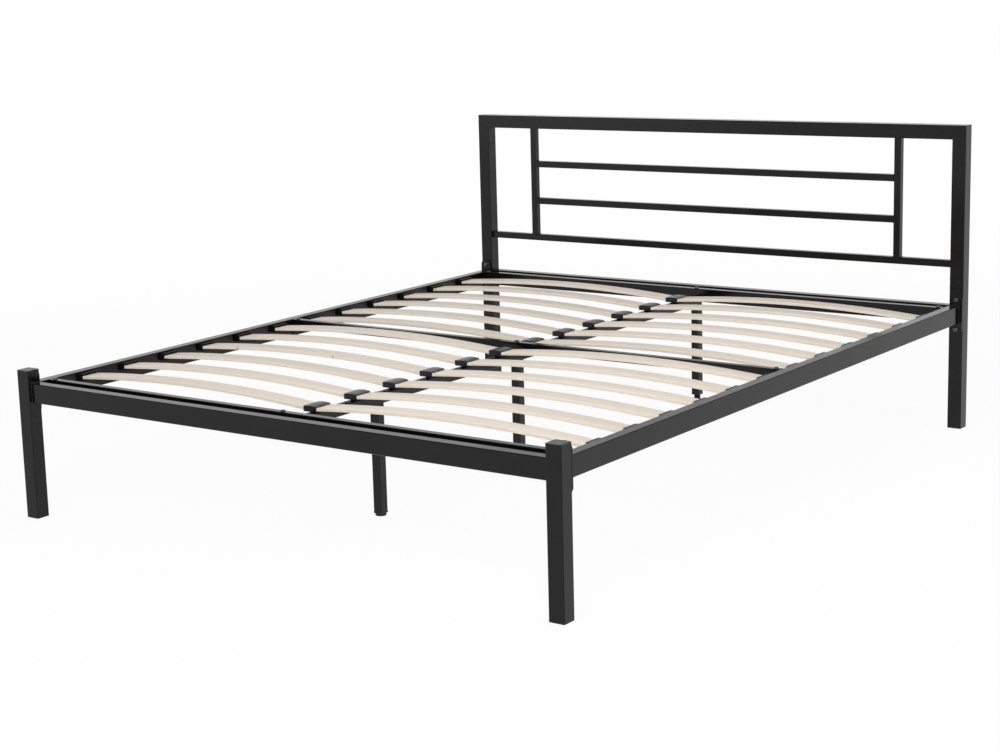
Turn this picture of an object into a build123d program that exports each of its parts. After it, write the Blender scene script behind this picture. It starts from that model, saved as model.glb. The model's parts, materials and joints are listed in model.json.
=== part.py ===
from build123d import *
import os

os.makedirs("parts", exist_ok=True)

# A metal bed frame for a 160 x 200 cm mattress, in millimetres. +Z is up, the foot end is at -Y and
# the headboard at +Y. The origin is on the floor, below the middle of the bed's outline.

# Outline
WIDTH = 1650.0
LENGTH = 2090.0
HEAD_HEIGHT = 860.0
FOOT_HEIGHT = 388.0

# Square tube of the legs, the posts and the top rail
POST = 40.0
POST_WALL = 1.5
POST_ROUND = 2.5
TUBE_INNER_ROUND = 1.0

# Rectangular tube of the foot rail, the side rails and the headboard's bottom rail
RAIL_THICK = 30.0
RAIL_HIGH = 50.0
RAIL_WALL = 1.5
RAIL_ROUND = 2.5
RAIL_TOP = 354.0

# Headboard bars
BAR = 20.0
BAR_WALL = 1.2
BAR_ROUND = 1.5
UPRIGHT_SETBACK = 165.0
UPPER_BAR_Z = 706.0
LOWER_BAR_Z = 588.0
LONG_BAR_Z = 470.0

# Glides under the legs and posts, and caps on the foot legs
GLIDE_FLANGE = 3.0
CAP_FLANGE = 2.0
GLIDE_SPIGOT = 14.0
CAP_SPIGOT = 8.0
PLUG_WALL = 2.5
PLUG_CLEARANCE = 0.2

# End plates of the side rails, with their bolts and threaded inserts
PLATE_THICK = 4.0
PLATE_WIDE = 36.0
PLATE_HIGH = 117.0
PLATE_BOLT_RISE = 41.5
PLATE_BOLT_R = 4.0
PLATE_BOLT_HEAD_R = 7.0
PLATE_BOLT_HEAD_HIGH = 4.5
PLATE_BOLT_SHANK = 20.0
BOLT_CLEARANCE = 0.3
BOLT_HEAD_DOME = 0.6
THREAD_CLEARANCE = 0.05
INSERT_WALL = 1.5
INSERT_LENGTH = 16.0
INSERT_BULGE = 1.0
INSERT_BULGE_LENGTH = 4.0
HEX_RECESS_R = 2.6
HEX_RECESS_DEPTH = 2.2

# Crossbars, which lie on the centre beam with their tops level with the rails, and their brackets
CROSSBAR_WIDE = 20.0
CROSSBAR_HIGH = 25.0
CROSSBAR_WALL = 1.2
CROSSBAR_ROUND = 1.5
CROSSBAR_SETBACK = 40.0
CROSSBAR_END_GAP = 2.0
BRACKET_THICK = 3.0
BRACKET_REACH = 33.0
BRACKET_BOLT_OFFSET = 15.0
CROSSBAR_BOLT_R = 3.0
CROSSBAR_BOLT_HEAD_R = 6.0
CROSSBAR_BOLT_HEAD_HIGH = 3.5
NUT_R = 5.5
NUT_HIGH = 5.0
BOLT_TIP = 2.0

# Centre beam, its legs and the bolts that hold them
BEAM = 25.0
BEAM_WALL = 1.5
BEAM_ROUND = 1.5
CENTRE_LEG = 25.0
CENTRE_LEG_WALL = 1.2
CENTRE_LEG_ROUND = 1.5
# The foot-end leg stands in the gap after this many slats, off its middle towards the foot
FOOT_LEG_AFTER_SLAT = 2
FOOT_LEG_OFFSET = 1.0
LEG_PLUG_HIGH = 12.0
LEG_BOLT_R = 4.0
LEG_BOLT_HEAD_R = 6.5
LEG_BOLT_HEAD_HIGH = 4.0
LEG_BOLT_BITE = 10.0

# Screw feet: a socket in the leg, a threaded barrel and a pad that swivels on it
SOCKET_BOTTOM = 25.0
SOCKET_WIDE = 26.0
SOCKET_FLANGE = 4.0
SOCKET_DEPTH = 22.0
SCREW_R = 10.0
SCREW_CLEARANCE = 0.05
SCREW_LENGTH = 38.0
SCREW_COLLAR = 2.0
THREAD_PITCH = 3.0
THREAD_DEPTH = 0.9
THREAD_PROFILE = ((1, 0.35), (1, 0.5), (0, 0.85), (0, 1.0))
PAD_R = 14.0
PAD_HIGH = 6.0
PAD_ROUND = 1.5
PIVOT_R = 5.0
PIVOT_LENGTH = 4.0
PIVOT_END_GAP = 0.3

# Slats
SLATS_PER_COLUMN = 12
SLAT_TO_CROSSBAR = 87.0
SLAT_WIDE = 53.0
SLAT_THICK = 8.0
SLAT_END_Z = 339.2
SLAT_RISE = 18.0
SLAT_CLEARANCE = 0.15

# Double-ended slat caps on the beam
CAP_LENGTH = 44.5
CAP_WIDE = 57.0
CAP_SKIN = 1.6
CAP_DOME = 2.3
CAP_CORNER = 7.0
CAP_EDGE = 1.2
CAP_GRIP = 12.0
STEM_WIDE = 18.0
STEM_DEEP = 30.0
PEG_R = 3.5
PEG_LENGTH = 5.0
PEG_CLEARANCE = 0.1

# Slat holders on the side rails
HOLDER_DEEP = 16.0
HOLDER_BOTTOM = 331.0
HOLDER_TOP = 350.0
HOLDER_CORNER = 7.0
HOLDER_EDGE = 1.5
HOLDER_GRIP = 12.5
HOLDER_PEG_SPREAD = 15.0

# Places worked out from the sizes above
LEG_X = (WIDTH - POST) / 2
INNER_X = WIDTH / 2 - POST
HEAD_Y = (LENGTH - POST) / 2
INNER_Y = LENGTH / 2 - POST
UPRIGHT_X = INNER_X - UPRIGHT_SETBACK
CROSSBAR_Y = INNER_Y - CROSSBAR_SETBACK
RAIL_Z = RAIL_TOP - RAIL_HIGH / 2
SIDE_RAIL_X = INNER_X + RAIL_THICK / 2
RAIL_END_Y = INNER_Y - PLATE_THICK
PLATE_X = INNER_X + POST - PLATE_WIDE / 2
FOOT_RAIL_Y = INNER_Y + RAIL_THICK / 2
CROSSBAR_Z = RAIL_TOP - CROSSBAR_HIGH / 2
CROSSBAR_END_X = INNER_X - CROSSBAR_END_GAP
BEAM_TOP = RAIL_TOP - CROSSBAR_HIGH
BEAM_BOTTOM = BEAM_TOP - BEAM
RAIL_BRACKET_BOLT_X = INNER_X - BRACKET_BOLT_OFFSET
CROSSBAR_YS = {"foot": -CROSSBAR_Y, "middle": 0.0, "head": CROSSBAR_Y}
SLAT_INNER_X = CAP_LENGTH / 2 - CAP_GRIP
SLAT_OUTER_X = INNER_X - HOLDER_DEEP + HOLDER_GRIP
END_SLAT_Y = CROSSBAR_Y - CROSSBAR_WIDE / 2 - SLAT_TO_CROSSBAR - SLAT_WIDE / 2
SLAT_PITCH = 2 * END_SLAT_Y / (SLATS_PER_COLUMN - 1)
SLAT_YS = [k * SLAT_PITCH - END_SLAT_Y for k in range(SLATS_PER_COLUMN)]
FOOT_CENTRE_LEG_Y = (FOOT_LEG_AFTER_SLAT - 0.5) * SLAT_PITCH - END_SLAT_Y - FOOT_LEG_OFFSET
CENTRE_LEG_YS = {"foot": FOOT_CENTRE_LEG_Y, "middle": 0.0, "head": CROSSBAR_Y}
SIDES = {"left": -1, "right": 1}


def save(name, *pieces):
    """Writes one named sub-part, which may be a group of like pieces."""
    solids = [solid for piece in pieces for solid in piece.solids()]
    export_step(Compound(children=solids), f"parts/{name}.step")


# Tubes


def section(wide, high, wall, rounding):
    inside = RectangleRounded(wide - 2 * wall, high - 2 * wall, TUBE_INNER_ROUND)
    return RectangleRounded(wide, high, rounding) - inside


def upright_tube(x, y, bottom, top, size, wall, rounding):
    return Pos(x, y, bottom) * extrude(section(size, size, wall, rounding), top - bottom)


def cross_tube(y, z, start, end, deep, high, wall, rounding):
    """A tube along X."""
    plane = Plane(origin=(start, y, z), x_dir=(0, 1, 0), z_dir=(1, 0, 0))
    return plane * extrude(section(deep, high, wall, rounding), end - start)


def long_tube(x, z, start, end, wide, high, wall, rounding):
    """A tube along Y."""
    plane = Plane(origin=(x, start, z), x_dir=(1, 0, 0), z_dir=(0, 1, 0))
    return plane * extrude(section(wide, high, wall, rounding), end - start)


def rail_across(y):
    return cross_tube(y, RAIL_Z, -INNER_X, INNER_X, RAIL_THICK, RAIL_HIGH, RAIL_WALL, RAIL_ROUND)


def arched_face(ends, rise, thick):
    """A band that bows up by rise between its two ends, each given as the middle's (x, z)."""
    (x0, z0), (x1, z1) = ends
    half = thick / 2
    crown = ((x0 + x1) / 2, (z0 + z1) / 2 + rise)
    low = ThreePointArc((x0, z0 - half), (crown[0], crown[1] - half), (x1, z1 - half))
    high = ThreePointArc((x0, z0 + half), (crown[0], crown[1] + half), (x1, z1 + half))
    return Plane.XZ * make_face([low, Line(low @ 1, high @ 1), high, Line(high @ 0, low @ 0)])


def arched_bar(ends, rise, thick, wide):
    return extrude(arched_face(ends, rise, thick), wide / 2, both=True)


# Fasteners and pegs


def rod(x, y, z, direction, radius, start, end):
    """A round bar or hole cutter along direction, from start to end as measured from the point."""
    plane = Plane(origin=(x, y, z), z_dir=direction)
    return plane * (Pos(0, 0, (start + end) / 2) * Cylinder(radius, end - start))


def bolt(x, y, z, direction, radius, shank, head_radius, head_high):
    """A round-headed bolt with a hexagon recess; the head's seat is at the point, facing direction."""
    head = Pos(0, 0, head_high / 2) * Cylinder(head_radius, head_high)
    head = fillet(head.edges().sort_by(Axis.Z)[-1], head_high * BOLT_HEAD_DOME)
    recess = Pos(0, 0, head_high - HEX_RECESS_DEPTH) * extrude(RegularPolygon(HEX_RECESS_R, 6), head_high)
    stem = Pos(0, 0, -shank / 2) * Cylinder(radius, shank)
    return Plane(origin=(x, y, z), z_dir=direction) * (head - recess + stem)


def nut(x, y, top):
    hexagon = Pos(x, y, top - NUT_HIGH) * extrude(RegularPolygon(NUT_R, 6), NUT_HIGH)
    return hexagon - rod(x, y, top, (0, 0, -1), CROSSBAR_BOLT_R + THREAD_CLEARANCE, -1, NUT_HIGH + 1)


# Legs, posts and rails


def plate_bolt_places(side, end):
    """Where the bolts cross the inner face of one leg or post."""
    return [(side * PLATE_X, end * INNER_Y, RAIL_Z + rise) for rise in (-PLATE_BOLT_RISE, PLATE_BOLT_RISE)]


def insert_holes(side, end):
    radius = PLATE_BOLT_R + THREAD_CLEARANCE + INSERT_WALL
    holes = [rod(*place, (0, end, 0), radius, -1, POST_WALL + 1) for place in plate_bolt_places(side, end)]
    return Part() + holes


def foot_leg(side):
    top = FOOT_HEIGHT - CAP_FLANGE
    leg = upright_tube(side * LEG_X, -HEAD_Y, GLIDE_FLANGE, top, POST, POST_WALL, POST_ROUND)
    return leg - insert_holes(side, -1)


def mitre_plane(side):
    """The plane of a headboard's top corner; its normal points up and inwards."""
    return Plane(origin=(side * INNER_X, HEAD_Y, HEAD_HEIGHT - POST), z_dir=(-side, 0, 1))


def headboard_post(side):
    post = upright_tube(side * LEG_X, HEAD_Y, GLIDE_FLANGE, HEAD_HEIGHT, POST, POST_WALL, POST_ROUND)
    return split(post, bisect_by=mitre_plane(side), keep=Keep.BOTTOM) - insert_holes(side, 1)


def headboard_top_rail():
    middle = HEAD_HEIGHT - POST / 2
    rail = cross_tube(HEAD_Y, middle, -WIDTH / 2, WIDTH / 2, POST, POST, POST_WALL, POST_ROUND)
    for side in SIDES.values():
        rail = split(rail, bisect_by=mitre_plane(side), keep=Keep.TOP)
    return rail


def plug(flange, spigot_high):
    """A square end plug with its flange below and its hollow spigot above the tube's end at z = 0."""
    size = POST - 2 * (POST_WALL + PLUG_CLEARANCE)
    cover = Pos(0, 0, -flange) * extrude(RectangleRounded(POST, POST, POST_ROUND), flange)
    hollow = RectangleRounded(size - 2 * PLUG_WALL, size - 2 * PLUG_WALL, TUBE_INNER_ROUND)
    spigot = extrude(RectangleRounded(size, size, TUBE_INNER_ROUND) - hollow, spigot_high)
    return cover + spigot


def leg_glide(side, end):
    return Pos(side * LEG_X, end * HEAD_Y, GLIDE_FLANGE) * plug(GLIDE_FLANGE, GLIDE_SPIGOT)


def foot_leg_cap(side):
    cap = Rot(180, 0, 0) * plug(CAP_FLANGE, CAP_SPIGOT)
    return Pos(side * LEG_X, -HEAD_Y, FOOT_HEIGHT - CAP_FLANGE) * cap


def headboard_bar(z, reach):
    return cross_tube(HEAD_Y, z, -reach, reach, BAR, BAR, BAR_WALL, BAR_ROUND)


def headboard_upright(side):
    top = HEAD_HEIGHT - POST
    return upright_tube(side * UPRIGHT_X, HEAD_Y, LONG_BAR_Z + BAR / 2, top, BAR, BAR_WALL, BAR_ROUND)


def side_rail(side):
    rail = long_tube(
        side * SIDE_RAIL_X, RAIL_Z, -RAIL_END_Y, RAIL_END_Y, RAIL_THICK, RAIL_HIGH, RAIL_WALL, RAIL_ROUND
    )
    radius = PEG_R + PEG_CLEARANCE
    holes = [rod(*place, (side, 0, 0), radius, -1, RAIL_WALL + 1) for place in holder_peg_places(side)]
    return rail - (Part() + holes)


def end_plate(side, end):
    plane = Plane(origin=(side * PLATE_X, end * RAIL_END_Y, RAIL_Z), x_dir=(0, 0, 1), z_dir=(0, end, 0))
    hole = Circle(PLATE_BOLT_R + BOLT_CLEARANCE)
    holes = Pos(PLATE_BOLT_RISE, 0) * hole + Pos(-PLATE_BOLT_RISE, 0) * hole
    return plane * extrude(SlotOverall(PLATE_HIGH, PLATE_WIDE) - holes, PLATE_THICK)


def rail_bolts(side, end):
    pieces = []
    for x, y, z in plate_bolt_places(side, end):
        seat_y = y - end * PLATE_THICK
        head = (PLATE_BOLT_HEAD_R, PLATE_BOLT_HEAD_HIGH)
        pieces.append(bolt(x, seat_y, z, (0, -end, 0), PLATE_BOLT_R, PLATE_BOLT_SHANK, *head))
    return pieces


def rail_bolt_inserts(side, end):
    bore = PLATE_BOLT_R + THREAD_CLEARANCE
    outer = bore + INSERT_WALL
    bulge_end = POST_WALL + INSERT_BULGE_LENGTH
    inserts = []
    for place in plate_bolt_places(side, end):
        sleeve = rod(*place, (0, end, 0), outer, 0, INSERT_LENGTH)
        bulge = rod(*place, (0, end, 0), outer + INSERT_BULGE, POST_WALL, bulge_end)
        inserts.append(sleeve + bulge - rod(*place, (0, end, 0), bore, -1, INSERT_LENGTH + 1))
    return inserts


# Crossbars, brackets and the centre beam


def crossbar(y):
    bar = cross_tube(
        y, CROSSBAR_Z, -CROSSBAR_END_X, CROSSBAR_END_X,
        CROSSBAR_WIDE, CROSSBAR_HIGH, CROSSBAR_WALL, CROSSBAR_ROUND,
    )
    centre_radius = LEG_BOLT_R if y in CENTRE_LEG_YS.values() else CROSSBAR_BOLT_R
    bolts = [(side * RAIL_BRACKET_BOLT_X, CROSSBAR_BOLT_R) for side in SIDES.values()]
    bolts.append((0.0, centre_radius))
    down = (0, 0, -1)
    holes = [rod(x, y, RAIL_TOP, down, r + BOLT_CLEARANCE, -1, CROSSBAR_HIGH + 1) for x, r in bolts]
    return bar - (Part() + holes)


def bracket(side, y):
    """An L bracket on a side rail's inner face; the crossbar's end rests on its shelf."""
    shelf_x = side * (INNER_X - BRACKET_REACH / 2)
    web_x = side * (INNER_X - BRACKET_THICK / 2)
    shelf_bottom = BEAM_TOP - BRACKET_THICK
    web_high = shelf_bottom - BEAM_BOTTOM
    shelf = Box(BRACKET_REACH, CROSSBAR_WIDE, BRACKET_THICK)
    web = Box(BRACKET_THICK, CROSSBAR_WIDE, web_high)
    hole_r = CROSSBAR_BOLT_R + BOLT_CLEARANCE
    hole = rod(side * RAIL_BRACKET_BOLT_X, y, BEAM_TOP, (0, 0, -1), hole_r, -1, BRACKET_THICK + 1)
    angle = Pos(shelf_x, y, BEAM_TOP - BRACKET_THICK / 2) * shelf
    angle += Pos(web_x, y, BEAM_BOTTOM + web_high / 2) * web
    return angle - hole


def crossbar_bolt(x, y, nut_top):
    shank = RAIL_TOP - nut_top + NUT_HIGH + BOLT_TIP
    return bolt(
        x, y, RAIL_TOP, (0, 0, 1), CROSSBAR_BOLT_R, shank, CROSSBAR_BOLT_HEAD_R, CROSSBAR_BOLT_HEAD_HIGH
    )


def crossbar_bolt_places():
    """Each crossbar bolt's x and y, with the height of its nut's top."""
    for side in SIDES.values():
        for y in CROSSBAR_YS.values():
            yield side * RAIL_BRACKET_BOLT_X, y, BEAM_TOP - BRACKET_THICK
    yield 0.0, -CROSSBAR_Y, BEAM_BOTTOM


def centre_beam():
    end = CROSSBAR_Y + CROSSBAR_WIDE / 2
    beam = long_tube(0, BEAM_TOP - BEAM / 2, -end, end, BEAM, BEAM, BEAM_WALL, BEAM_ROUND)
    cuts = [rod(0, y, BEAM_TOP, (0, 0, -1), PEG_R + PEG_CLEARANCE, -1, BEAM_WALL + 1) for y in SLAT_YS]
    for y in CENTRE_LEG_YS.values():
        cuts.append(rod(0, y, BEAM_TOP, (0, 0, -1), LEG_BOLT_R + BOLT_CLEARANCE, -1, BEAM + 1))
    cuts.append(rod(0, -CROSSBAR_Y, BEAM_TOP, (0, 0, -1), CROSSBAR_BOLT_R + BOLT_CLEARANCE, -1, BEAM + 1))
    return beam - (Part() + cuts)


# Centre legs and their screw feet


def centre_leg(y):
    bottom = SOCKET_BOTTOM + SOCKET_FLANGE
    return upright_tube(0, y, bottom, BEAM_BOTTOM, CENTRE_LEG, CENTRE_LEG_WALL, CENTRE_LEG_ROUND)


def leg_inside():
    size = CENTRE_LEG - 2 * (CENTRE_LEG_WALL + PLUG_CLEARANCE)
    return RectangleRounded(size, size, TUBE_INNER_ROUND)


def centre_leg_plug(y):
    tapped = leg_inside() - Circle(LEG_BOLT_R + THREAD_CLEARANCE)
    return Pos(0, y, BEAM_BOTTOM - LEG_PLUG_HIGH) * extrude(tapped, LEG_PLUG_HIGH)


def centre_leg_bolt(y):
    top = RAIL_TOP if y in CROSSBAR_YS.values() else BEAM_TOP
    shank = top - BEAM_BOTTOM + LEG_BOLT_BITE
    return bolt(0, y, top, (0, 0, 1), LEG_BOLT_R, shank, LEG_BOLT_HEAD_R, LEG_BOLT_HEAD_HIGH)


def centre_leg_socket(y):
    bore = Circle(SCREW_R + SCREW_CLEARANCE)
    flange = extrude(RectangleRounded(SOCKET_WIDE, SOCKET_WIDE, CENTRE_LEG_ROUND) - bore, SOCKET_FLANGE)
    spigot = Pos(0, 0, SOCKET_FLANGE) * extrude(leg_inside() - bore, SOCKET_DEPTH)
    return Pos(0, y, SOCKET_BOTTOM) * (flange + spigot)


def pad_bottom(name):
    """The foot nearest the foot end is wound right in; the other two stand on the floor."""
    return SOCKET_BOTTOM - PAD_HIGH if name == "foot" else 0.0


def foot_pad(y, bottom):
    disc = Pos(0, 0, PAD_HIGH / 2) * Cylinder(PAD_R, PAD_HIGH)
    disc = fillet(disc.edges().sort_by(Axis.Z)[-1], PAD_ROUND)
    depth = PIVOT_LENGTH + PIVOT_END_GAP
    seat = Pos(0, 0, PAD_HIGH - depth / 2) * Cylinder(PIVOT_R + SCREW_CLEARANCE, depth)
    return Pos(0, y, bottom) * (disc - seat)


def foot_screw(y, bottom):
    """A threaded barrel with a pivot pin below it; the thread is a row of round ridges."""
    core = SCREW_R - THREAD_DEPTH
    points = [(0, -PIVOT_LENGTH), (PIVOT_R, -PIVOT_LENGTH), (PIVOT_R, 0)]
    points += [(SCREW_R, 0), (SCREW_R, SCREW_COLLAR)]
    ridges = int((SCREW_LENGTH - SCREW_COLLAR) // THREAD_PITCH)
    for k in range(ridges):
        low = SCREW_COLLAR + k * THREAD_PITCH
        for cut, share in THREAD_PROFILE:
            points.append((SCREW_R - cut * THREAD_DEPTH, low + share * THREAD_PITCH))
    points += [(core, SCREW_LENGTH), (0, SCREW_LENGTH)]
    profile = Plane.XZ * make_face(Polyline(*points, close=True))
    return Pos(0, y, bottom + PAD_HIGH) * revolve(profile, Axis.Z)


# Slats, their caps and holders


def slat_ends(side, extra=0.0):
    return (side * (SLAT_INNER_X - extra), SLAT_END_Z), (side * (SLAT_OUTER_X + extra), SLAT_END_Z)


def slat(side, y):
    return Pos(0, y, 0) * arched_bar(slat_ends(side), SLAT_RISE, SLAT_THICK, SLAT_WIDE)


def slat_pocket(side):
    """The room that a slat's end takes in its cap and holder, with its clearance."""
    gap = 2 * SLAT_CLEARANCE
    return arched_bar(slat_ends(side, SLAT_CLEARANCE), SLAT_RISE, SLAT_THICK + gap, SLAT_WIDE + gap)


def slat_height(x):
    """The height of a slat's middle at x, on the parabola close to its arc."""
    share = (abs(x) - SLAT_INNER_X) / (SLAT_OUTER_X - SLAT_INNER_X)
    return SLAT_END_Z + 4 * SLAT_RISE * share * (1 - share)


def centre_cap(pockets):
    half = SLAT_THICK / 2 + CAP_SKIN
    low = SLAT_END_Z - half
    shoulder = slat_height(CAP_LENGTH / 2) + half
    reach = CAP_LENGTH / 2
    top = ThreePointArc((-reach, shoulder), (0, shoulder + CAP_DOME), (reach, shoulder))
    outline = [top, Line((reach, shoulder), (reach, low)), Line((reach, low), (-reach, low))]
    outline.append(Line((-reach, low), (-reach, shoulder)))
    block = extrude(Plane.XZ * make_face(outline), CAP_WIDE / 2, both=True)
    plan = extrude(RectangleRounded(CAP_LENGTH, CAP_WIDE, CAP_CORNER), 2 * HEAD_HEIGHT)
    shell = block & plan
    shell = fillet(shell.faces().sort_by(Axis.Z)[-1].edges(), CAP_EDGE) - pockets
    stem = Pos(0, 0, (BEAM_TOP + low) / 2) * Box(STEM_WIDE, STEM_DEEP, low - BEAM_TOP)
    return shell + stem + rod(0, 0, BEAM_TOP, (0, 0, -1), PEG_R, 0, PEG_LENGTH)


def holder_peg_places(side):
    z = (HOLDER_BOTTOM + HOLDER_TOP) / 2
    spread = HOLDER_PEG_SPREAD
    return [(side * INNER_X, y + offset, z) for y in SLAT_YS for offset in (-spread, spread)]


def slat_holder(side, pocket):
    high = HOLDER_TOP - HOLDER_BOTTOM
    middle = (HOLDER_BOTTOM + HOLDER_TOP) / 2
    block = Pos(side * (INNER_X - HOLDER_DEEP / 2), 0, middle) * Box(HOLDER_DEEP, CAP_WIDE, high)
    mouth = block.faces().sort_by(Axis.X)[0 if side > 0 else -1]
    block = fillet(mouth.edges().filter_by(Axis.Z), HOLDER_CORNER)
    top = block.faces().sort_by(Axis.Z)[-1]
    wall_x = side * INNER_X
    rims = [edge for edge in top.edges() if abs(edge.center().X - wall_x) > HOLDER_EDGE]
    block = fillet(rims, HOLDER_EDGE) - pocket
    for offset in (-HOLDER_PEG_SPREAD, HOLDER_PEG_SPREAD):
        block += rod(side * INNER_X, offset, middle, (side, 0, 0), PEG_R, 0, PEG_LENGTH)
    return block


def place_in_rows(piece):
    return [Pos(0, y, 0) * piece for y in SLAT_YS]


# The frame

CORNERS = [(side, end) for side in SIDES.values() for end in (-1, 1)]

for side_name, side in SIDES.items():
    save(f"foot_leg_{side_name}", foot_leg(side))
    save(f"headboard_post_{side_name}", headboard_post(side))
    save(f"headboard_upright_{side_name}", headboard_upright(side))
    save(f"side_rail_{side_name}", side_rail(side))

save("foot_leg_caps", *[foot_leg_cap(side) for side in SIDES.values()])
save("leg_glides", *[leg_glide(side, end) for side, end in CORNERS])
save("foot_rail", rail_across(-FOOT_RAIL_Y))
save("headboard_top_rail", headboard_top_rail())
save("headboard_bottom_rail", rail_across(FOOT_RAIL_Y))
save("headboard_long_bar", headboard_bar(LONG_BAR_Z, INNER_X))
save("headboard_upper_bar", headboard_bar(UPPER_BAR_Z, UPRIGHT_X - BAR / 2))
save("headboard_lower_bar", headboard_bar(LOWER_BAR_Z, UPRIGHT_X - BAR / 2))
save("side_rail_end_plates", *[end_plate(side, end) for side, end in CORNERS])
save("rail_bolts", *[piece for side, end in CORNERS for piece in rail_bolts(side, end)])
save("rail_bolt_inserts", *[piece for side, end in CORNERS for piece in rail_bolt_inserts(side, end)])

for name, y in CROSSBAR_YS.items():
    save(f"{name}_crossbar", crossbar(y))
save("crossbar_brackets", *[bracket(side, y) for side in SIDES.values() for y in CROSSBAR_YS.values()])
save("crossbar_bolts", *[crossbar_bolt(*place) for place in crossbar_bolt_places()])
save("crossbar_nuts", *[nut(*place) for place in crossbar_bolt_places()])
save("centre_beam", centre_beam())

for name, y in CENTRE_LEG_YS.items():
    save(f"centre_leg_{name}", centre_leg(y))
    save(f"foot_pad_{name}", foot_pad(y, pad_bottom(name)))
    save(f"foot_screw_{name}", foot_screw(y, pad_bottom(name)))
save("centre_leg_plugs", *[centre_leg_plug(y) for y in CENTRE_LEG_YS.values()])
save("centre_leg_bolts", *[centre_leg_bolt(y) for y in CENTRE_LEG_YS.values()])
save("centre_leg_sockets", *[centre_leg_socket(y) for y in CENTRE_LEG_YS.values()])

POCKETS = {side: slat_pocket(side) for side in SIDES.values()}
save("centre_caps", *place_in_rows(centre_cap(POCKETS[-1] + POCKETS[1])))
for side_name, side in SIDES.items():
    save(f"slat_holders_{side_name}", *place_in_rows(slat_holder(side, POCKETS[side])))
for number, y in enumerate(SLAT_YS, start=1):
    save(f"slat_pair_{number:02d}", *[slat(side, y) for side in SIDES.values()])
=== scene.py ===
import json
import math
import random

import bmesh
import bpy
from mathutils import Matrix, Vector


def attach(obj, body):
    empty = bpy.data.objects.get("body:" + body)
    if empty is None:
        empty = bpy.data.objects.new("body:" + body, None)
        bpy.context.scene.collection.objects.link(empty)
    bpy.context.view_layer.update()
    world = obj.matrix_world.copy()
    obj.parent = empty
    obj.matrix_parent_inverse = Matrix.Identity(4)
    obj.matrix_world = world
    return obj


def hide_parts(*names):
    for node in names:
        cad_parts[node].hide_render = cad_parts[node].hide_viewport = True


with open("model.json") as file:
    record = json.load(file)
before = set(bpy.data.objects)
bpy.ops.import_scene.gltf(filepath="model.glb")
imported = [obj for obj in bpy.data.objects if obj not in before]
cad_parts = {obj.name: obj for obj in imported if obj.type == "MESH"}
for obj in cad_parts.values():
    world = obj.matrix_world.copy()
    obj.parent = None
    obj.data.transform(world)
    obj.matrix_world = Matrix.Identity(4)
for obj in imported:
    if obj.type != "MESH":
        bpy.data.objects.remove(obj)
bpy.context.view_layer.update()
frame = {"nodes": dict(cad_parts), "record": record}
nodes = frame["nodes"]

# Camera: the photograph's viewing angle, in metres and degrees.
CAMERA_PLACE = (3.127, -4.529, 1.403)
CAMERA_YAW = 39.33
CAMERA_DOWN = 11.56
CAMERA_ROLL = 2.34
CAMERA_LENS = 74.8
CAMERA_SHIFT = 0.15

# Lamps: name, place, target, size, watts
LAMPS = (
    ("overhead", (0.9, -0.3, 3.6), (0.3, -0.2, 0.3), (3.4, 3.4), 68.0),
    ("front_box", (2.0, -4.2, 3.0), (0.2, 0.0, 0.3), (3.0, 2.0), 150.0),
    ("left_card", (-4.6, -5.6, 0.9), (0.0, 1.0, 0.6), (1.8, 1.6), 6.5),
)

# Floor: its size, its colour, and how far round the bed its shadows still show
FLOOR_SIZE = 60.0
FLOOR_COLOUR = (0.85, 0.85, 0.85)
FLOOR_NEAR = 1.6
FLOOR_FAR = 5.0
FLOOR_LIFT_NEAR = 0.94

# Frame sizes that the scene's own pieces follow, in metres
INNER_X = 0.785
INNER_Y = 1.005
POST = 0.040
HEAD_HIGH = 0.860
RAIL_TOP = 0.354
RAIL_LOW = 0.304
RAIL_THICK = 0.030
HEAD_Y = 1.025
BAR_HALF = 0.010
UPRIGHT_X = 0.620
BARS_Z = (0.706, 0.588)
LONG_BAR_Z = 0.470
PLATE_Y = 1.001
PLATE_THICK = 0.004
RAIL_GAP = 0.001
CROSSBAR_YS = (-0.965, 0.0, 0.965)
CROSSBAR_HALF = 0.010
BRACKET_TOP = RAIL_TOP - 0.026

# Slats
SLAT_COUNT = 12
SLAT_PITCH = 0.153
SLAT_WIDE = 0.053
SLAT_THICK = 0.008
SLAT_END_Z = 0.3392
SLAT_RISE = 0.018
SLAT_START_X = 0.01025
SLAT_END_X = 0.7815
SLAT_STEPS = 40
SLAT_EASE = 0.0013
SLAT_EASE_STEPS = 3
SLAT_SHARP_DEGREES = 40.0
PLY_THICK = 0.0026
KNOT_CELLS = (9.0, 30.0, 1.0)

# Weld beads
BEAD_R = 0.0021
THIN_BEAD_R = 0.0014
BEAD_RIPPLE = 0.0026
BEAD_SIDES = 8
BEAD_STEP = 0.00065
BEAD_SWELL = 0.1
BEAD_LOW = 0.82
BEAD_HEAP = 0.2
BEAD_TIP = 0.35
BEAD_TIP_RUN = 1.2


def make_camera():
    yaw, down, roll = (math.radians(a) for a in (CAMERA_YAW, CAMERA_DOWN, CAMERA_ROLL))
    forward = Vector((-math.sin(yaw) * math.cos(down), math.cos(yaw) * math.cos(down), -math.sin(down)))
    right = Vector((math.cos(yaw), math.sin(yaw), 0.0))
    below = forward.cross(right)
    right_rolled = right * math.cos(roll) + below * math.sin(roll)
    below_rolled = below * math.cos(roll) - right * math.sin(roll)
    turn = Matrix((right_rolled, -below_rolled, -forward)).transposed()
    data = bpy.data.cameras.new("camera")
    data.lens = CAMERA_LENS
    data.sensor_width = 36.0
    data.shift_x = CAMERA_SHIFT
    data.clip_end = 200.0
    camera = bpy.data.objects.new("camera", data)
    bpy.context.scene.collection.objects.link(camera)
    camera.matrix_world = Matrix.Translation(CAMERA_PLACE) @ turn.to_4x4()
    bpy.context.scene.camera = camera


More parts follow.
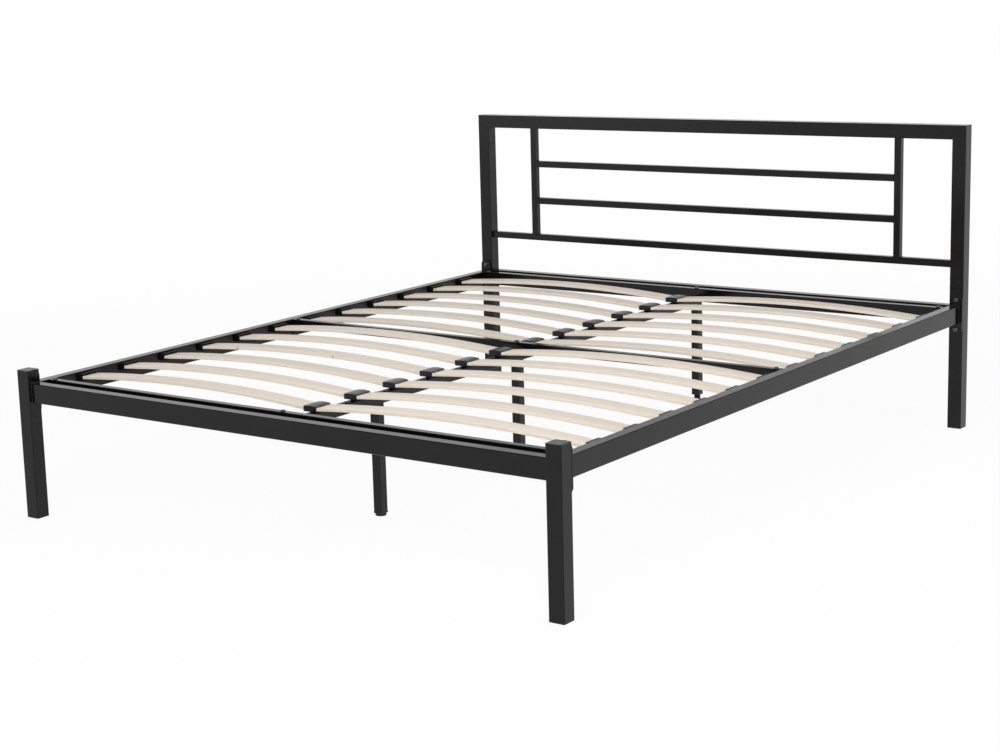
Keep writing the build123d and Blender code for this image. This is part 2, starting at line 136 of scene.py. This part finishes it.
def add_lamp(name, place, target, size, watts):
    data = bpy.data.lights.new(name, "AREA")
    data.shape = "RECTANGLE"
    data.size, data.size_y = size
    data.energy = watts
    lamp = bpy.data.objects.new(name, data)
    bpy.context.scene.collection.objects.link(lamp)
    lamp.location = place
    lamp.visible_camera = False
    lamp.rotation_mode = "QUATERNION"
    lamp.rotation_quaternion = (Vector(target) - Vector(place)).to_track_quat("-Z", "Y")


class Nodes:
    """Short calls that build a node tree."""

    def __init__(self, tree):
        self.tree = tree
        self.tree.nodes.clear()

    def add(self, kind, **settings):
        node = self.tree.nodes.new(kind)
        for key, value in settings.items():
            setattr(node, key, value)
        return node

    def join(self, source, target):
        self.tree.links.new(source, target)

    def put(self, socket, value):
        if isinstance(value, (int, float)):
            socket.default_value = value
        elif isinstance(value, tuple):
            socket.default_value = (*value, 1.0) if socket.type == "RGBA" else value
        else:
            self.join(value, socket)

    def math(self, operation, a, b=None):
        node = self.add("ShaderNodeMath", operation=operation)
        self.put(node.inputs[0], a)
        if b is not None:
            self.put(node.inputs[1], b)
        return node.outputs[0]

    def scaled(self, vector, scale):
        node = self.add("ShaderNodeVectorMath", operation="MULTIPLY")
        self.join(vector, node.inputs[0])
        node.inputs[1].default_value = scale
        return node.outputs[0]

    def length(self, vector):
        node = self.add("ShaderNodeVectorMath", operation="LENGTH")
        self.join(vector, node.inputs[0])
        return node.outputs["Value"]

    def split(self, vector):
        node = self.add("ShaderNodeSeparateXYZ")
        self.join(vector, node.inputs[0])
        return node.outputs

    def combine(self, x, y, z):
        node = self.add("ShaderNodeCombineXYZ")
        for socket, value in zip(node.inputs, (x, y, z)):
            self.put(socket, value)
        return node.outputs[0]

    def attribute(self, name):
        return self.add("ShaderNodeAttribute", attribute_name=name)

    def band(self, value, low, high, start=0.0, end=1.0):
        """Maps low to high of a value onto start to end, and stops there."""
        node = self.add("ShaderNodeMapRange")
        for name, number in (("From Min", low), ("From Max", high), ("To Min", start), ("To Max", end)):
            node.inputs[name].default_value = number
        self.put(node.inputs["Value"], value)
        return node.outputs[0]

    def ramp(self, source, stops):
        node = self.add("ShaderNodeValToRGB")
        elements = node.color_ramp.elements
        while len(elements) < len(stops):
            elements.new(1.0)
        for element, (place, colour) in zip(elements, stops):
            element.position = place
            element.color = (*colour, 1.0)
        self.join(source, node.inputs[0])
        return node.outputs[0]

    def noise(self, vector, scale, detail=2.0, roughness=0.5):
        node = self.add("ShaderNodeTexNoise")
        node.inputs["Scale"].default_value = scale
        node.inputs["Detail"].default_value = detail
        node.inputs["Roughness"].default_value = roughness
        self.join(vector, node.inputs["Vector"])
        return node.outputs["Fac"]

    def mix(self, factor, a, b, blend="MIX"):
        node = self.add("ShaderNodeMix", data_type="RGBA", blend_type=blend)
        for socket, value in ((node.inputs[0], factor), (node.inputs[6], a), (node.inputs[7], b)):
            self.put(socket, value)
        return node.outputs[2]

    def bump(self, height, strength, distance, normal=None):
        node = self.add("ShaderNodeBump")
        node.inputs["Strength"].default_value = strength
        node.inputs["Distance"].default_value = distance
        self.join(height, node.inputs["Height"])
        if normal is not None:
            self.join(normal, node.inputs["Normal"])
        return node.outputs[0]


# Studio


def make_world():
    """A white surround that darkens overhead, as a studio's ceiling does."""
    world = bpy.data.worlds.new("studio")
    bpy.context.scene.world = world
    world.use_nodes = True
    n = Nodes(world.node_tree)
    height = n.split(n.add("ShaderNodeTexCoord").outputs["Generated"])[2]
    sky = n.ramp(height, [(0.0, (1, 1, 1)), (0.3, (0.9, 0.9, 0.9)), (0.62, (0.12, 0.12, 0.12))])
    background = n.add("ShaderNodeBackground")
    n.join(sky, background.inputs["Color"])
    output = n.add("ShaderNodeOutputWorld")
    n.join(background.outputs[0], output.inputs[0])


def make_floor():
    """A white sweep: the camera and the reflections see it lifted to white, and it keeps its shadows."""
    bpy.ops.mesh.primitive_plane_add(size=FLOOR_SIZE, location=(0.0, 0.0, 0.0))
    floor = bpy.context.object
    floor.name = "floor"
    material = bpy.data.materials.new("floor_white")
    material.use_nodes = True
    n = Nodes(material.node_tree)
    diffuse = n.add("ShaderNodeBsdfDiffuse")
    n.put(diffuse.inputs["Color"], FLOOR_COLOUR)
    glow = n.add("ShaderNodeEmission")
    path = n.add("ShaderNodeLightPath")
    seen = n.math("MAXIMUM", path.outputs["Is Camera Ray"], path.outputs["Is Glossy Ray"])
    seen = n.math("MAXIMUM", seen, path.outputs["Is Transmission Ray"])
    reach = n.length(object_place(n))
    share = n.math("MULTIPLY", seen, n.band(reach, FLOOR_NEAR, FLOOR_FAR, FLOOR_LIFT_NEAR, 1.0))
    mix = n.add("ShaderNodeMixShader")
    n.join(share, mix.inputs[0])
    n.join(diffuse.outputs[0], mix.inputs[1])
    n.join(glow.outputs[0], mix.inputs[2])
    output = n.add("ShaderNodeOutputMaterial")
    n.join(mix.outputs[0], output.inputs[0])
    floor.data.materials.append(material)


# Materials


def new_material(name):
    material = bpy.data.materials.new(name)
    material.use_nodes = True
    n = Nodes(material.node_tree)
    shader = n.add("ShaderNodeBsdfPrincipled")
    output = n.add("ShaderNodeOutputMaterial")
    n.join(shader.outputs[0], output.inputs[0])
    return material, n, shader


def object_place(n):
    return n.add("ShaderNodeTexCoord").outputs["Object"]


def powder_coat(name, roughness, ior):
    """Gloss black powder coat: orange peel, a cloudy gloss and a trace of dust."""
    material, n, shader = new_material(name)
    place = object_place(n)
    cloud = n.noise(place, 9.0, 3.0)
    tone = n.ramp(cloud, [(0.35, (0.0022, 0.0022, 0.0024)), (0.7, (0.0038, 0.0038, 0.004))])
    dust = n.band(n.noise(place, 900.0, 1.0), 0.74, 0.8, 0.0, 0.35)
    n.join(n.mix(dust, tone, (0.03, 0.03, 0.03)), shader.inputs["Base Color"])
    n.join(n.band(cloud, 0.3, 0.7, *roughness), shader.inputs["Roughness"])
    shader.inputs["IOR"].default_value = ior
    peel = n.bump(n.noise(place, 330.0, 2.0), 0.1, 0.0005)
    n.join(n.bump(n.noise(place, 14.0, 1.0), 0.08, 0.004, peel), shader.inputs["Normal"])
    return material


def plastic(name, roughness, ior):
    """Moulded plastic with a fine spark-eroded grain."""
    material, n, shader = new_material(name)
    place = object_place(n)
    tone = n.ramp(n.noise(place, 40.0), [(0.3, (0.004, 0.004, 0.0043)), (0.75, (0.0075, 0.0075, 0.008))])
    n.join(tone, shader.inputs["Base Color"])
    n.join(n.band(n.noise(place, 60.0, 2.0), 0.3, 0.7, *roughness), shader.inputs["Roughness"])
    shader.inputs["IOR"].default_value = ior
    n.join(n.bump(n.noise(place, 1100.0, 2.0), 0.2, 0.0002), shader.inputs["Normal"])
    return material


def zinc():
    """Zinc-plated steel with its faint crystals."""
    material, n, shader = new_material("zinc_steel")
    place = object_place(n)
    cells = n.add("ShaderNodeTexVoronoi")
    cells.inputs["Scale"].default_value = 260.0
    n.join(place, cells.inputs["Vector"])
    tone = n.ramp(cells.outputs["Distance"], [(0.1, (0.66, 0.66, 0.63)), (0.8, (0.52, 0.52, 0.5))])
    n.join(tone, shader.inputs["Base Color"])
    shader.inputs["Metallic"].default_value = 1.0
    n.join(n.band(n.noise(place, 150.0), 0.3, 0.7, 0.28, 0.42), shader.inputs["Roughness"])
    return material


def birch():
    """Birch plywood: grain along the slat, plies on its edges and a few pin knots.

    slat_map holds metres along, across and through the slat; slat_seed is each slat's own number.
    """
    material, n, shader = new_material("birch_ply")
    place = n.attribute("slat_map").outputs["Vector"]
    seed = n.attribute("slat_seed").outputs["Fac"]
    along, across, through = n.split(place)
    own_depth = n.math("MULTIPLY", seed, 3.1)
    own = n.combine(n.math("ADD", along, n.math("MULTIPLY", seed, 7.3)), across, own_depth)
    warp = n.noise(n.scaled(own, (2.2, 14.0, 1.0)), 1.0, 2.0)
    sway = n.math("MULTIPLY", n.math("SUBTRACT", warp, 0.5), 0.02)
    grain_place = n.combine(
        n.math("MULTIPLY", n.split(own)[0], 3.0),
        n.math("MULTIPLY", n.math("ADD", across, sway), 190.0),
        own_depth,
    )
    grain = n.noise(grain_place, 1.0, 4.0, 0.62)
    figure = n.noise(n.scaled(own, (5.0, 40.0, 1.0)), 1.0, 2.0)
    grain_tones = [(0.28, (0.60, 0.515, 0.41)), (0.48, (0.70, 0.63, 0.53)), (0.7, (0.745, 0.69, 0.60))]
    wood = n.ramp(grain, grain_tones)
    wood = n.mix(n.band(figure, 0.35, 0.75, 0.0, 0.35), wood, (0.755, 0.665, 0.575))
    tone = n.band(seed, 0.0, 1.0, 0.94, 1.04)
    wood = n.mix(1.0, wood, n.combine(tone, tone, tone), "MULTIPLY")
    layer = n.math("SINE", n.math("MULTIPLY", through, 2 * math.pi / PLY_THICK))
    ply = n.ramp(n.band(layer, -0.35, 0.35), [(0.0, (0.68, 0.59, 0.49)), (1.0, (0.735, 0.67, 0.58))])
    end_grain = n.noise(n.scaled(own, (900.0, 60.0, 60.0)), 1.0, 2.0)
    ply = n.mix(n.band(end_grain, 0.4, 0.8, 0.0, 0.3), ply, (0.62, 0.50, 0.38))
    side = n.math("SUBTRACT", SLAT_WIDE / 2, n.math("ABSOLUTE", across))
    wood = n.mix(n.band(side, 0.0002, 0.0009, 1.0, 0.0), wood, ply)
    knot_place = n.scaled(own, KNOT_CELLS)
    cells = n.add("ShaderNodeTexVoronoi")
    cells.inputs["Scale"].default_value = 1.0
    n.join(knot_place, cells.inputs["Vector"])
    chosen = n.math("GREATER_THAN", n.split(cells.outputs["Color"])[0], 0.72)
    near = n.add("ShaderNodeVectorMath", operation="SUBTRACT")
    n.join(cells.outputs["Position"], near.inputs[0])
    n.join(knot_place, near.inputs[1])
    spot = n.length(n.scaled(near.outputs[0], (1 / 9.0, 1 / 14.0, 0.0)))
    ring = n.math("MULTIPLY", chosen, n.band(spot, 0.0012, 0.006, 0.55, 0.0))
    core = n.math("MULTIPLY", chosen, n.band(spot, 0.0006, 0.0017, 0.9, 0.0))
    wood = n.mix(ring, wood, (0.56, 0.42, 0.29))
    wood = n.mix(core, wood, (0.17, 0.10, 0.06))
    n.join(wood, shader.inputs["Base Color"])
    n.join(n.band(grain, 0.3, 0.7, 0.52, 0.4), shader.inputs["Roughness"])
    shader.inputs["IOR"].default_value = 1.4
    n.join(n.bump(grain, 0.18, 0.0004), shader.inputs["Normal"])
    return material


MATERIALS = {
    "black_powder_coat": powder_coat("black_powder_coat", (0.1, 0.2), 1.33),
    "black_bolt": powder_coat("black_bolt", (0.16, 0.28), 1.9),
    "black_plastic": plastic("black_plastic", (0.22, 0.32), 1.35),
    "zinc_steel": zinc(),
    "birch_ply": birch(),
}

# The holders on the side rails are duller than the other plastic pieces
HOLDER_PLASTIC = plastic("holder_plastic", (0.28, 0.38), 1.15)
HOLDERS = ("slat_holders_left", "slat_holders_right")


def dress_nodes():
    for part in frame["record"]["subparts"]:
        name = part["node"]
        data = nodes[name].data
        data.materials.clear()
        data.materials.append(HOLDER_PLASTIC if name in HOLDERS else MATERIALS[part["material_slot"]])


def add_piece(name, mesh, slot):
    piece = bpy.data.objects.new(name, mesh)
    bpy.context.scene.collection.objects.link(piece)
    mesh.materials.append(MATERIALS[slot])
    for face in mesh.polygons:
        face.use_smooth = True
    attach(piece, "root")
    return piece


# Slats


def eased_section():
    """The slat's section, as (across, through), with its long edges eased."""
    points = []
    for corner in range(4):
        x = (SLAT_WIDE / 2 - SLAT_EASE) * (1 if corner in (0, 3) else -1)
        z = (SLAT_THICK / 2 - SLAT_EASE) * (1 if corner in (0, 1) else -1)
        for step in range(SLAT_EASE_STEPS + 1):
            angle = math.radians(90 * (corner + step / SLAT_EASE_STEPS))
            points.append((x + SLAT_EASE * math.cos(angle), z + SLAT_EASE * math.sin(angle)))
    return points


def slat_arc(side):
    """Places along the arc of one slat's middle, each with the direction through its thickness."""
    span = SLAT_END_X - SLAT_START_X
    radius = (span * span / 4 + SLAT_RISE * SLAT_RISE) / (2 * SLAT_RISE)
    half_angle = math.asin(span / 2 / radius)
    middle = side * (SLAT_START_X + SLAT_END_X) / 2
    centre_z = SLAT_END_Z + SLAT_RISE - radius
    for step in range(SLAT_STEPS + 1):
        angle = half_angle * (2 * step / SLAT_STEPS - 1)
        outward = Vector((math.sin(angle), 0.0, math.cos(angle)))
        yield Vector((middle, 0.0, centre_z)) + outward * radius, outward, radius * angle


def add_slat(mesh, y, side, seed, layers):
    """One bowed slat in the bmesh, with its own map for the grain."""
    map_layer, seed_layer = layers
    section = eased_section()
    rings = []
    for place, outward, along in slat_arc(side):
        ring = []
        for across, through in section:
            vert = mesh.verts.new(place + outward * through + Vector((0.0, y + across, 0.0)))
            vert[map_layer] = Vector((along, across, through))
            vert[seed_layer] = seed
            ring.append(vert)
        rings.append(ring)
    count = len(section)
    for first, second in zip(rings, rings[1:]):
        for k in range(count):
            mesh.faces.new((first[k], first[(k + 1) % count], second[(k + 1) % count], second[k]))
    mesh.faces.new(rings[0])
    mesh.faces.new(list(reversed(rings[-1])))


def make_slats():
    draw = random.Random(12)
    for number in range(1, SLAT_COUNT + 1):
        y = (number - (SLAT_COUNT + 1) / 2) * SLAT_PITCH
        mesh = bmesh.new()
        layers = (
            mesh.verts.layers.float_vector.new("slat_map"),
            mesh.verts.layers.float.new("slat_seed"),
        )
        for side in (-1, 1):
            add_slat(mesh, y, side, draw.random(), layers)
        bmesh.ops.recalc_face_normals(mesh, faces=mesh.faces)
        data = bpy.data.meshes.new(f"slats_{number:02d}")
        mesh.to_mesh(data)
        mesh.free()
        piece = add_piece(f"slats_{number:02d}", data, "birch_ply")
        sharpen(data)
        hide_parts(f"slat_pair_{number:02d}")


def sharpen(data):
    """Keeps the steeper edges sharp on a smooth mesh."""
    mesh = bmesh.new()
    mesh.from_mesh(data)
    for edge in mesh.edges:
        if len(edge.link_faces) == 2 and edge.calc_face_angle() > math.radians(SLAT_SHARP_DEGREES):
            edge.smooth = False
    mesh.to_mesh(data)
    mesh.free()


# Weld beads


def bead(mesh, points, radius, draw):
    """A rippled bead along a run of points, buried to its middle in the corner that it fills."""
    points = [Vector(p) for p in points]
    stations = []
    travelled = 0.0
    for a, b in zip(points, points[1:]):
        length = (b - a).length
        steps = max(2, int(length / BEAD_STEP))
        for k in range(steps):
            stations.append((a.lerp(b, k / steps), (b - a).normalized(), travelled + length * k / steps))
        travelled += length
    stations.append((points[-1], (points[-1] - points[-2]).normalized(), travelled))
    swell = {}
    rings = []
    for place, direction, s in stations:
        drop = int(s / BEAD_RIPPLE)
        if drop not in swell:
            swell[drop] = 1.0 + draw.uniform(-BEAD_SWELL, BEAD_SWELL)
        ripple = abs(math.sin(math.pi * s / BEAD_RIPPLE))
        fade = min(1.0, BEAD_TIP + min(s, travelled - s) / (BEAD_TIP_RUN * radius))
        r = radius * fade * swell[drop] * (BEAD_LOW + BEAD_HEAP * ripple)
        side = direction.orthogonal().normalized()
        up = direction.cross(side)
        ring = []
        for k in range(BEAD_SIDES):
            angle = 2 * math.pi * k / BEAD_SIDES
            ring.append(mesh.verts.new(place + (side * math.cos(angle) + up * math.sin(angle)) * r))
        rings.append(ring)
    for first, second in zip(rings, rings[1:]):
        for k in range(BEAD_SIDES):
            mesh.faces.new((first[k], first[(k + 1) % BEAD_SIDES], second[(k + 1) % BEAD_SIDES], second[k]))
    mesh.faces.new(list(reversed(rings[0])))
    mesh.faces.new(rings[-1])


def bead_runs():
    """Every welded joint as a run of points with the bead's radius."""
    low, high = RAIL_LOW, RAIL_TOP
    for side in (-1, 1):
        x = side * INNER_X
        for end in (-1, 1):
            inner, outer = end * (INNER_Y + RAIL_GAP), end * (INNER_Y + RAIL_THICK)
            yield [(x, inner, high), (x, outer, high)], BEAD_R
            yield [(x, outer, high), (x, outer, low)], BEAD_R
            yield [(x, outer, low), (x, inner, low)], BEAD_R
            face = end * PLATE_Y
            plate_in = side * (INNER_X + PLATE_THICK)
            rail_out = side * (INNER_X + RAIL_THICK)
            yield [(plate_in, face, high), (rail_out, face, high)], BEAD_R
            yield [(rail_out, face, high), (rail_out, face, low)], BEAD_R
            yield [(rail_out, face, low), (plate_in, face, low)], BEAD_R
        front, back = HEAD_Y - BAR_HALF, HEAD_Y + BAR_HALF
        under, over = LONG_BAR_Z - BAR_HALF, LONG_BAR_Z + BAR_HALF
        yield [(x, front, over), (x, back, over)], THIN_BEAD_R
        yield [(x, back, over), (x, back, under)], THIN_BEAD_R
        yield [(x, back, under), (x, front, under)], THIN_BEAD_R
        yield [(x, front, under), (x, front, over)], THIN_BEAD_R
        near, far = side * (UPRIGHT_X - BAR_HALF), side * (UPRIGHT_X + BAR_HALF)
        top = HEAD_HIGH - POST
        yield [(near, front, top), (near, back, top)], THIN_BEAD_R
        yield [(near, back, top), (far, back, top)], THIN_BEAD_R
        yield [(far, back, top), (far, front, top)], THIN_BEAD_R
        yield [(far, front, top), (near, front, top)], THIN_BEAD_R
        for edge in (near, far):
            yield [(edge, front, over), (edge, back, over)], THIN_BEAD_R
        for z in BARS_Z:
            for edge in (z - BAR_HALF, z + BAR_HALF):
                yield [(near, front, edge), (near, back, edge)], THIN_BEAD_R
        for y in CROSSBAR_YS:
            for edge in (y - CROSSBAR_HALF, y + CROSSBAR_HALF):
                yield [(x, edge, low + RAIL_GAP), (x, edge, BRACKET_TOP)], THIN_BEAD_R


def make_beads():
    draw = random.Random(5)
    mesh = bmesh.new()
    for points, radius in bead_runs():
        bead(mesh, points, radius, draw)
    bmesh.ops.recalc_face_normals(mesh, faces=mesh.faces)
    data = bpy.data.meshes.new("weld_beads")
    mesh.to_mesh(data)
    mesh.free()
    add_piece("weld_beads", data, "black_powder_coat")


bpy.context.scene.view_settings.view_transform = "Standard"
make_camera()
make_world()
make_floor()
for lamp in LAMPS:
    add_lamp(*lamp)
dress_nodes()
make_slats()
make_beads()
